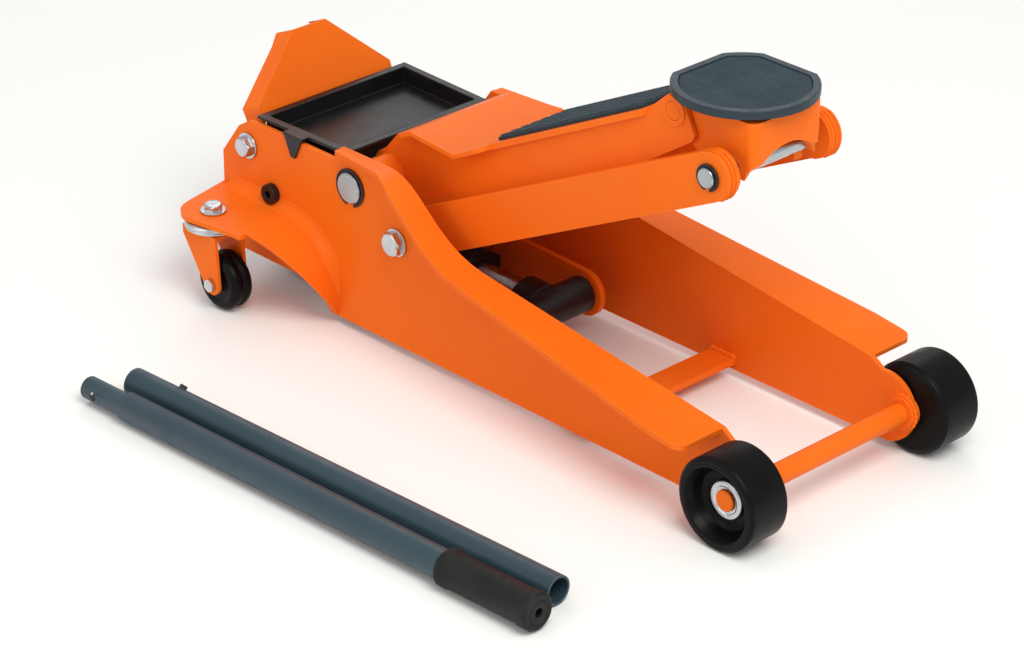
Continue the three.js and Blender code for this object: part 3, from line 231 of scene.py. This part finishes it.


# in each material below, edge is the colour of a painted highlight along its sharp edges
painted("orange_paint", (0.89, 0.165, 0.010), (0.85, 0.139, 0.008), 0.38, spread_rough=0.05,
        coat=0.02, coat_rough=0.14, specular=0.08, grain=520.0, grain_depth=0.00010, strength=0.28,
        patch=9.0, edge=(0.97, 0.26, 0.05), edge_amount=0.8)
painted("black_paint", (0.012, 0.012, 0.013), (0.006, 0.006, 0.007), 0.36,
        coat=0.08, coat_rough=0.2, specular=0.3, grain=600.0, grain_depth=0.0001,
        edge=(0.05, 0.05, 0.052))
bare_metal("zinc", (0.66, 0.70, 0.74), (0.48, 0.52, 0.56), 0.28, spread_rough=0.07,
           grain=1500.0, grain_depth=0.00003, patch=60.0, third=(0.66, 0.63, 0.60),
           edge=(0.85, 0.87, 0.89))
bare_metal("bright_steel", (0.47, 0.50, 0.53), (0.36, 0.39, 0.41), 0.26,
           grain=700.0, stretch=(1.0, 12.0, 1.0), edge=(0.85, 0.86, 0.88))
material("spring_steel", (0.045, 0.045, 0.05), (0.02, 0.02, 0.024), 0.9, 0.4, spread_rough=0.08,
         edge=(0.2, 0.2, 0.21))
painted("wheel", (0.0042, 0.0042, 0.0046), (0.0025, 0.0025, 0.0028), 0.36, spread_rough=0.08,
        specular=0.11, grain=420.0, grain_depth=0.0002, strength=0.35, patch=30.0,
        edge=(0.06, 0.06, 0.063), edge_width=0.0016, edge_amount=0.8)
painted("tray_plastic", (0.008, 0.0085, 0.009), (0.0045, 0.005, 0.0055), 0.34, spread_rough=0.07,
        specular=0.35, grain=1100.0, grain_depth=0.0001, strength=0.4, patch=25.0,
        edge=(0.05, 0.053, 0.056))
painted("grip", (0.012, 0.012, 0.012), (0.006, 0.006, 0.006), 0.58, spread_rough=0.08,
        specular=0.25, grain=700.0, grain_depth=0.0004, strength=0.6, patch=40.0,
        edge=(0.05, 0.05, 0.052))
painted("slate_paint", (0.035, 0.064, 0.084), (0.028, 0.052, 0.070), 0.42, spread_rough=0.07,
        coat=0.04, coat_rough=0.25, specular=0.3, grain_depth=0.00012, strength=0.4,
        edge=(0.16, 0.21, 0.25), edge_amount=0.7)
painted("dark_slate", (0.021, 0.039, 0.052), (0.015, 0.029, 0.039), 0.46, spread_rough=0.07,
        coat=0.03, coat_rough=0.25, specular=0.3, grain=800.0, grain_depth=0.00012, strength=0.4,
        patch=20.0, edge=(0.085, 0.125, 0.155), edge_amount=0.7)
painted("slate_rubber", (0.027, 0.049, 0.064), (0.019, 0.036, 0.048), 0.68, spread_rough=0.08,
        specular=0.2, grain=420.0, grain_depth=0.0006, strength=0.55, patch=30.0,
        edge=(0.12, 0.16, 0.19))


# ------------------------------------------------------------------ meshes
# nodes whose shade differs from the rest of their slot
LOOK = {"saddle": "dark_slate", "handle_button": "dark_slate"}


def finish_piece(obj, slot, body, *replaced):
    """Gives a piece the material of its slot or look, parents it to the body it rides on and hides the CAD
    nodes it is drawn in place of.
    """
    obj.data.materials.clear()
    obj.data.materials.append(MATERIALS[LOOK.get(replaced[0], slot) if replaced else slot])
    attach(obj, body)
    if replaced:
        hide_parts(*replaced)


def new_object(name, bm, smooth_angle=35):
    """An object from a mesh under construction, shaded smooth up to an angle in degrees."""
    mesh = bpy.data.meshes.new(name)
    bmesh.ops.recalc_face_normals(bm, faces=bm.faces)
    bm.to_mesh(mesh)
    bm.free()
    mesh.shade_smooth()
    mesh.set_sharp_from_angle(angle=math.radians(smooth_angle))
    obj = bpy.data.objects.new(name, mesh)
    bpy.context.scene.collection.objects.link(obj)
    return obj


def soften(obj, width):
    """Rounds an object's sharp edges by a width in metres."""
    bevel = obj.modifiers.new("soft_edges", "BEVEL")
    bevel.width = width
    bevel.segments = 2
    bevel.limit_method = "ANGLE"
    bevel.angle_limit = math.radians(32)
    bevel.use_clamp_overlap = True
    bevel.harden_normals = True
    bevel.miter_outer = "MITER_ARC"


def clean_copy(name):
    """The CAD node's own surface with its flat areas joined into whole faces."""
    bm = bmesh.new()
    bm.from_mesh(NODES[name].data)
    bmesh.ops.remove_doubles(bm, verts=bm.verts, dist=2e-6)
    bmesh.ops.dissolve_limit(bm, angle_limit=math.radians(0.6), verts=bm.verts, edges=bm.edges, delimit=set())
    return bm


def refined(name, width, shape=None):
    """A CAD node's own shape with softened edges; shape may change the mesh first."""
    bm = clean_copy(name)
    if shape:
        shape(bm)
    obj = new_object(name + "_skin", bm)
    soften(obj, width)
    finish_piece(obj, SLOT_OF[name], BODY_OF[name], name)


def lathe(bm, profile, origin, axis, sides=72):
    """Spins (radius, distance) pairs, in millimetres, about an axis through origin."""
    axis = Vector(axis).normalized()
    side = axis.orthogonal().normalized()
    other = axis.cross(side)
    rings = []
    for radius, along in profile:
        if radius < 1e-6:
            rings.append([bm.verts.new(origin + axis * along * MM)])
            continue
        ring = []
        for i in range(sides):
            turn = 2 * math.pi * i / sides
            out = side * math.cos(turn) + other * math.sin(turn)
            ring.append(bm.verts.new(origin + (out * radius + axis * along) * MM))
        rings.append(ring)
    for a, b in zip(rings, rings[1:]):
        for i in range(sides):
            j = (i + 1) % sides
            if len(a) == 1 and len(b) == 1:
                break
            if len(a) == 1:
                bm.faces.new((a[0], b[i], b[j]))
            elif len(b) == 1:
                bm.faces.new((a[i], b[0], a[j]))
            else:
                bm.faces.new((a[i], b[i], b[j], a[j]))


def rounded(points, radius, steps=4):
    """Rounds the inner corners of an open list of 2-D points."""
    out = [points[0]]
    for before, here, after in zip(points, points[1:], points[2:]):
        a = Vector(before) - Vector(here)
        b = Vector(after) - Vector(here)
        reach = min(radius, a.length * 0.45, b.length * 0.45)
        start = Vector(here) + a.normalized() * reach
        end = Vector(here) + b.normalized() * reach
        for i in range(steps + 1):
            t = i / steps
            spot = start * (1 - t) ** 2 + Vector(here) * 2 * t * (1 - t) + end * t ** 2
            out.append((spot.x, spot.y))
    out.append(points[-1])
    return out


def turned(node_name, profile, radius, steps, origin, axis, slot, body, sides):
    """A spun part in place of a CAD node, its closed outline rounded at the corners."""
    bm = bmesh.new()
    lathe(bm, rounded(profile, radius, steps), origin, axis, sides)
    bmesh.ops.remove_doubles(bm, verts=bm.verts, dist=1e-6)
    finish_piece(new_object(node_name + "_skin", bm, 40), slot, body, node_name)


def hex_bolt(node_name, origin, axis, flat_radius, height, washer_radius, shank_radius, shank):
    """Washer and chamfered hexagon head standing on a face at origin, with its shank behind."""
    axis = Vector(axis).normalized()
    side = axis.orthogonal().normalized()
    other = axis.cross(side)
    bm = bmesh.new()
    gap = 0.3
    washer = 2.0
    top = gap + washer
    lathe(bm, rounded([
        (0, gap), (washer_radius, gap), (washer_radius, top), (flat_radius * 0.9, top), (0, top),
    ], 0.5), origin, axis, 48)
    lathe(bm, [
        (0, -shank), (shank_radius - 0.6, -shank), (shank_radius, -shank + 0.6),
        (shank_radius, 0.5), (0, 0.5),
    ], origin, axis, 32)
    corner = flat_radius / math.cos(math.pi / 6)
    # height on the head, and how far out its corners may reach there
    levels = [
        (0.0, corner * 0.97), (0.5, corner), (height - 2.2, corner), (height - 1.5, flat_radius * 1.10),
        (height - 0.7, flat_radius * 1.03), (height - 0.15, flat_radius * 0.94), (height, flat_radius * 0.86),
        (height - 0.1, flat_radius * 0.5), (height - 0.1, 0),
    ]
    sides = 72
    rings = []
    for up, limit in levels:
        if limit == 0:
            rings.append([bm.verts.new(origin + axis * (top + up) * MM)])
            continue
        ring = []
        for i in range(sides):
            turn = 2 * math.pi * i / sides
            wedge = (turn + math.pi / 6) % (math.pi / 3) - math.pi / 6
            reach = min(flat_radius / math.cos(wedge), limit)
            out = side * math.cos(turn) + other * math.sin(turn)
            ring.append(bm.verts.new(origin + (out * reach + axis * (top + up)) * MM))
        rings.append(ring)
    bm.faces.new(list(reversed(rings[0])))
    for a, b in zip(rings, rings[1:]):
        for i in range(sides):
            j = (i + 1) % sides
            if len(b) == 1:
                bm.faces.new((a[i], a[j], b[0]))
            else:
                bm.faces.new((a[i], a[j], b[j], b[i]))
    finish_piece(new_object(node_name + "_skin", bm, 28), "zinc", "chassis", node_name)


def bead(name, points, radius, closed=False):
    """A weld bead along a line of points, with the small scallops that a torch leaves."""
    path = []
    for a, b in zip(points, points[1:] + (points[:1] if closed else [])):
        count = max(1, int((b - a).length / (BEAD_STEP * MM)))
        path += [a.lerp(b, i / count) for i in range(count)]
    if not closed:
        path.append(points[-1])
    bm = bmesh.new()
    rings = []
    total = len(path)
    for i, spot in enumerate(path):
        ahead = path[(i + 1) % total] if closed or i + 1 < total else path[i]
        behind = path[i - 1] if closed or i > 0 else path[i]
        along = (ahead - behind).normalized()
        side = along.orthogonal().normalized()
        other = along.cross(side)
        size = radius * (1 + 0.18 * math.sin(i * math.pi / 2) + random.uniform(-0.07, 0.07))
        if not closed and i in (0, total - 1):
            size *= 0.4
        rings.append([bm.verts.new(spot + (side * math.cos(t) + other * math.sin(t)) * size * MM)
                      for t in (2 * math.pi * k / 10 for k in range(10))])
    pairs = list(zip(rings, rings[1:])) + ([(rings[-1], rings[0])] if closed else [])
    for a, b in pairs:
        twist = min(range(10), key=lambda k: (a[0].co - b[k].co).length)
        for k in range(10):
            bm.faces.new((a[k], b[(k + twist) % 10], b[(k + 1 + twist) % 10], a[(k + 1) % 10]))
    if not closed:
        bm.faces.new(rings[0])
        bm.faces.new(list(reversed(rings[-1])))
    finish_piece(new_object(name, bm, 80), "orange_paint", "chassis")


# ------------------------------------------------------------------ wheels
# closed outlines in millimetres, as (radius, distance from the jack's middle)
ROLLER = [
    (10.2, 95.6), (13, 95.6), (14.5, 94.6), (36.5, 94.6), (39.6, 96.4), (40.2, 97.6), (41.45, 98.4),
    (41.45, 136.0), (40.6, 138.0), (37.4, 139.4), (35.8, 138.9), (34.6, 139.4), (33.0, 138.9),
    (29.5, 133.0), (26.5, 125.6), (22.0, 123.5), (10.2, 123.5), (10.2, 95.6),
]
AXLE_RING = [
    (8.4, 124.0), (17.4, 124.0), (17.4, 125.6), (16.2, 126.8), (13.0, 126.9), (11.6, 126.0),
    (8.4, 126.0), (8.4, 124.0),
]
# one half of the twin-tread caster wheel, from its middle groove to its bore, as (radius, distance)
CASTER_HALF = [
    (24.6, 1.3), (26.8, 3.2), (26.95, 6.0), (25.8, 9.2), (22.5, 11.6), (19.0, 11.9), (17.0, 10.6),
    (9.0, 10.6), (8.0, 11.9), (4.6, 11.9),
]
CASTER_WHEEL = [(r, -d) for r, d in reversed(CASTER_HALF)] + CASTER_HALF + [(4.6, -11.9)]
# the swivel's two races, as (radius, height above the ground)
CASTER_DISC = [
    (5.4, 85.1), (23.0, 85.1), (26.0, 84.0), (26.8, 82.4), (26.8, 80.6), (25.8, 79.9), (25.8, 79.3),
    (26.6, 78.6), (26.2, 77.2), (23.6, 76.0), (5.4, 75.8), (5.4, 85.1),
]

up = (0, 0, 1)
for side, sign in (("left", 1), ("right", -1)):
    out = (0, sign, 0)
    hub = at(0, 0, WHEEL_Z)
    turned("front_wheel_" + side, ROLLER, 0.9, 4, hub, out, "wheel", "roller_" + side, 96)
    turned("axle_ring_" + side, AXLE_RING, 0.5, 3, hub, out, "zinc", "chassis", 48)
    caster = "caster_wheel_" + side
    turned(caster, CASTER_WHEEL, 1.0, 4, centre(caster), (0, 1, 0), "wheel", caster, 72)
    swivel_at = at(CASTER_X, sign * CASTER_Y, 0)
    turned("caster_disc_" + side, CASTER_DISC, 0.6, 3, swivel_at, up, "zinc", "chassis", 64)
    ear_at = at(CASTER_X, sign * CASTER_Y, EAR_TOP_Z)
    hex_bolt("caster_bolt_" + side, ear_at, up, *CASTER_BOLT)
    link_at = centre("link_bolt_" + side)
    face = at(0, sign * PLATE_FACE_Y, 0).y
    hex_bolt("link_bolt_" + side, Vector((link_at.x, face, link_at.z)), out, *LINK_BOLT)
    yoke_at = at(YOKE_BOLT_X, sign * PLATE_FACE_Y, YOKE_BOLT_Z)
    hex_bolt("yoke_bolt_" + side, yoke_at, out, *YOKE_BOLT)


# ------------------------------------------------------------------ side plates
for side in ("left", "right"):
    refined("side_plate_" + side, 0.0007)


def arch_point(t):
    """A point, as (x, z), on the curve from the caster ear down to the plate's lower edge."""
    a, b, c = Vector((-575, 90)), Vector((-512, 88)), Vector((-507, 28))
    return a * (1 - t) ** 2 + b * 2 * t * (1 - t) + c * t ** 2


def cove(name, sign):
    """The rounded inside corner where the web turns out into the caster ear."""
    line = [Vector((x, EAR_TOP_Z)) for x in (-655, -640, -620, -598)]
    line += [arch_point(i / 14) for i in range(15)]
    quarter = [k * math.pi / 16 for k in range(9)]
    section = [(-0.6, -0.6)] + [(1 - math.sin(turn), 1 - math.cos(turn)) for turn in quarter]
    bm = bmesh.new()
    rings = []
    for i, spot in enumerate(line):
        ahead = line[min(i + 1, len(line) - 1)]
        behind = line[max(i - 1, 0)]
        along = (ahead - behind).normalized()
        up = Vector((-along.y, along.x))
        taper = 1.0 if i < 14 else max(0.05, (18 - i) / 4.5)
        radius = COVE_RADIUS * taper
        ring = []
        for across, rise in section:
            place = spot + up * (rise * radius)
            y = sign * (PLATE_FACE_Y + across * radius)
            ring.append(bm.verts.new(at(place.x, y, place.y)))
        rings.append(ring)
    for a, b in zip(rings, rings[1:]):
        for k in range(10):
            bm.faces.new((a[k], b[k], b[(k + 1) % 10], a[(k + 1) % 10]))
    bm.faces.new(rings[0])
    bm.faces.new(list(reversed(rings[-1])))
    finish_piece(new_object(name, bm, 60), "orange_paint", "chassis")


cove("ear_bend_left", 1)
cove("ear_bend_right", -1)

# welds where the axle and the brace meet the plates
for side, sign in (("left", 1), ("right", -1)):
    ring = []
    for k in range(40):
        turn = 2 * math.pi * k / 40
        x = AXLE_WELD_RADIUS * math.cos(turn)
        z = WHEEL_Z + AXLE_WELD_RADIUS * math.sin(turn)
        ring.append(at(x, sign * (PLATE_INNER_Y + 0.2), z))
    bead("axle_weld_" + side, ring, 1.7, closed=True)
    for tag, z, radius in (("upper", 20.6, 2.6), ("lower", 13.7, 1.5)):
        seam = [at(x, sign * PLATE_INNER_Y, z) for x in (BRACE_REAR_X, BRACE_FRONT_X)]
        bead("brace_weld_%s_%s" % (tag, side), seam, radius)

# ------------------------------------------------------------------ CAD shapes with softened edges
# width of the rounding in metres
EDGE = {
    "front_axle": 0.0006, "cross_brace": 0.0009, "arm_pivot_shaft": 0.0006,
    "pivot_circlip_left": 0.0002, "pivot_circlip_right": 0.0002,
    "side_plug_left": 0.0007, "side_plug_right": 0.0007,
    "hydraulic_block": 0.0015, "ram_cylinder": 0.0008, "ram_rod": 0.0008, "crosshead": 0.0012,
    "drive_plate_left": 0.0007, "drive_plate_right": 0.0007,
    "pump_plunger": 0.0006, "release_valve": 0.0006,
    "lift_arm": 0.0009, "arm_top_pad": 0.0005, "head_pin": 0.0006,
    "link_left": 0.0009, "link_right": 0.0009, "cross_pin": 0.0005,
    "cross_pin_clip_left": 0.0002, "cross_pin_clip_right": 0.0002,
    "lift_head": 0.0018, "saddle": 0.0009, "saddle_pad": 0.0006,
    "yoke": 0.0012, "handle_socket": 0.0005, "tool_tray": 0.0009,
    "caster_fork_left": 0.0008, "caster_fork_right": 0.0008,
    "caster_axle_left": 0.0004, "caster_axle_right": 0.0004,
    "handle_upper_tube": 0.0004, "handle_grip": 0.0004,
    "handle_lower_tube": 0.0004, "handle_button": 0.0004,
}


def round_edges(bm, chosen, radius, clamp):
    """Rounds chosen edges by a radius in metres."""
    bmesh.ops.bevel(bm, geom=chosen, offset=radius, segments=6, profile=0.5,
                    affect="EDGES", clamp_overlap=clamp)


def round_head_corners(bm):
    """Rounds the upright corners of the head's front."""
    front = max(v.co.x for v in bm.verts)
    chosen = []
    for edge in bm.edges:
        a, b = (v.co for v in edge.verts)
        upright = abs(a.x - b.x) < 1e-5 and abs(a.y - b.y) < 1e-5
        if upright and front - a.x < 2e-5 and abs(a.y - AXLE.y) > 0.035:
            chosen.append(edge)
    round_edges(bm, chosen, 0.008, True)


def round_cover_corners(bm):
    """Rounds the corners of the arm's raised cover, seen from above."""
    chosen = []
    for edge in bm.edges:
        a, b = (v.co for v in edge.verts)
        on_side = abs(a.y - b.y) < 1e-5 and abs(abs(a.y - AXLE.y) - COVER_HALF_WIDTH * MM) < 2e-5
        if not on_side or (a - b).length > 0.0075:
            continue
        if edge.is_manifold and edge.calc_face_angle(0) > 1.2:
            others = [e for v in edge.verts for e in v.link_edges if e is not edge]
            if sum(abs(e.verts[0].co.y - e.verts[1].co.y) > 0.004 for e in others) >= 2:
                chosen.append(edge)
    round_edges(bm, chosen, 0.009, False)


SHAPES = {"lift_head": round_head_corners, "lift_arm": round_cover_corners}
for name, width in EDGE.items():
    refined(name, width, shape=SHAPES.get(name))

# the pump spring stands on the block at its foot
spring = new_object("pump_spring_skin", clean_copy("pump_spring"))
spring.data.materials.append(MATERIALS["spring_steel"])
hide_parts("pump_spring")
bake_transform(spring)

# three ridges round the front end of each link
pin = centre("cross_pin")
for side, sign in (("left", 1), ("right", -1)):
    for index, y in enumerate(RIDGE_Y):
        bm = bmesh.new()
        rings = []
        for k in range(29):
            turn = math.radians(-62 + 142 * k / 28)
            fade = min(1.0, k / 3 + 0.15, (28 - k) / 3 + 0.15)
            ring = []
            for j in range(8):
                small = 2 * math.pi * j / 8
                reach = LINK_END_RADIUS + RIDGE_HEIGHT * fade * math.cos(small)
                across = at(0, sign * (y + RIDGE_HALF_WIDTH * fade * math.sin(small)), 0).y
                x = pin.x + reach * math.cos(turn) * MM
                z = pin.z + reach * math.sin(turn) * MM
                ring.append(bm.verts.new(Vector((x, across, z))))
            rings.append(ring)
        for a, b in zip(rings, rings[1:]):
            for j in range(8):
                bm.faces.new((a[j], b[j], b[(j + 1) % 8], a[(j + 1) % 8]))
        bm.faces.new(rings[0])
        bm.faces.new(list(reversed(rings[-1])))
        ridge = new_object("link_ridge_%s_%d" % (side, index + 1), bm, 70)
        finish_piece(ridge, "orange_paint", "link_" + side)

# ------------------------------------------------------------------ floor and light
floor_bm = bmesh.new()
bmesh.ops.create_grid(floor_bm, x_segments=2, y_segments=2, size=14.0)
floor_mesh = bpy.data.meshes.new("floor")
floor_bm.to_mesh(floor_mesh)
floor_bm.free()
floor = bpy.data.objects.new("floor", floor_mesh)
bpy.context.scene.collection.objects.link(floor)
floor_material = bpy.data.materials.new("floor")
floor_material.use_nodes = True
floor_shader = floor_material.node_tree.nodes["Principled BSDF"]
floor_shader.inputs["Base Color"].default_value = (0.93, 0.93, 0.93, 1)
floor_shader.inputs["Roughness"].default_value = 0.9
floor_shader.inputs["Specular IOR Level"].default_value = 0.1
floor.data.materials.append(floor_material)
floor.location.z = -0.0004

world = bpy.data.worlds.new("studio")
bpy.context.scene.world = world
world.use_nodes = True
world.node_tree.nodes["Background"].inputs["Color"].default_value = (1, 1, 1, 1)
world.node_tree.nodes["Background"].inputs["Strength"].default_value = 0.64


def area_light(name, place, aim, width, height, power, tint=(1, 1, 1)):
    data = bpy.data.lights.new(name, "AREA")
    data.shape = "RECTANGLE"
    data.size = width
    data.size_y = height
    data.energy = power
    data.color = tint
    lamp = bpy.data.objects.new(name, data)
    lamp.location = place
    lamp.rotation_euler = (place - aim).to_track_quat("Z", "Y").to_euler()
    bpy.context.scene.collection.objects.link(lamp)


# places from the jack's middle and sizes in metres, then the power in watts
middle = at(-330, 0, 120)
area_light("key_light", middle + Vector((1.7, -0.7, 2.4)), middle, 1.6, 1.6, 56, (0.975, 1.0, 0.92))
area_light("side_light", middle + Vector((-0.5, -2.7, 1.0)), middle, 2.2, 1.4, 13, (1.0, 0.90, 0.84))
area_light("rim_light", middle + Vector((-1.8, 1.6, 1.8)), middle, 1.5, 1.0, 10)
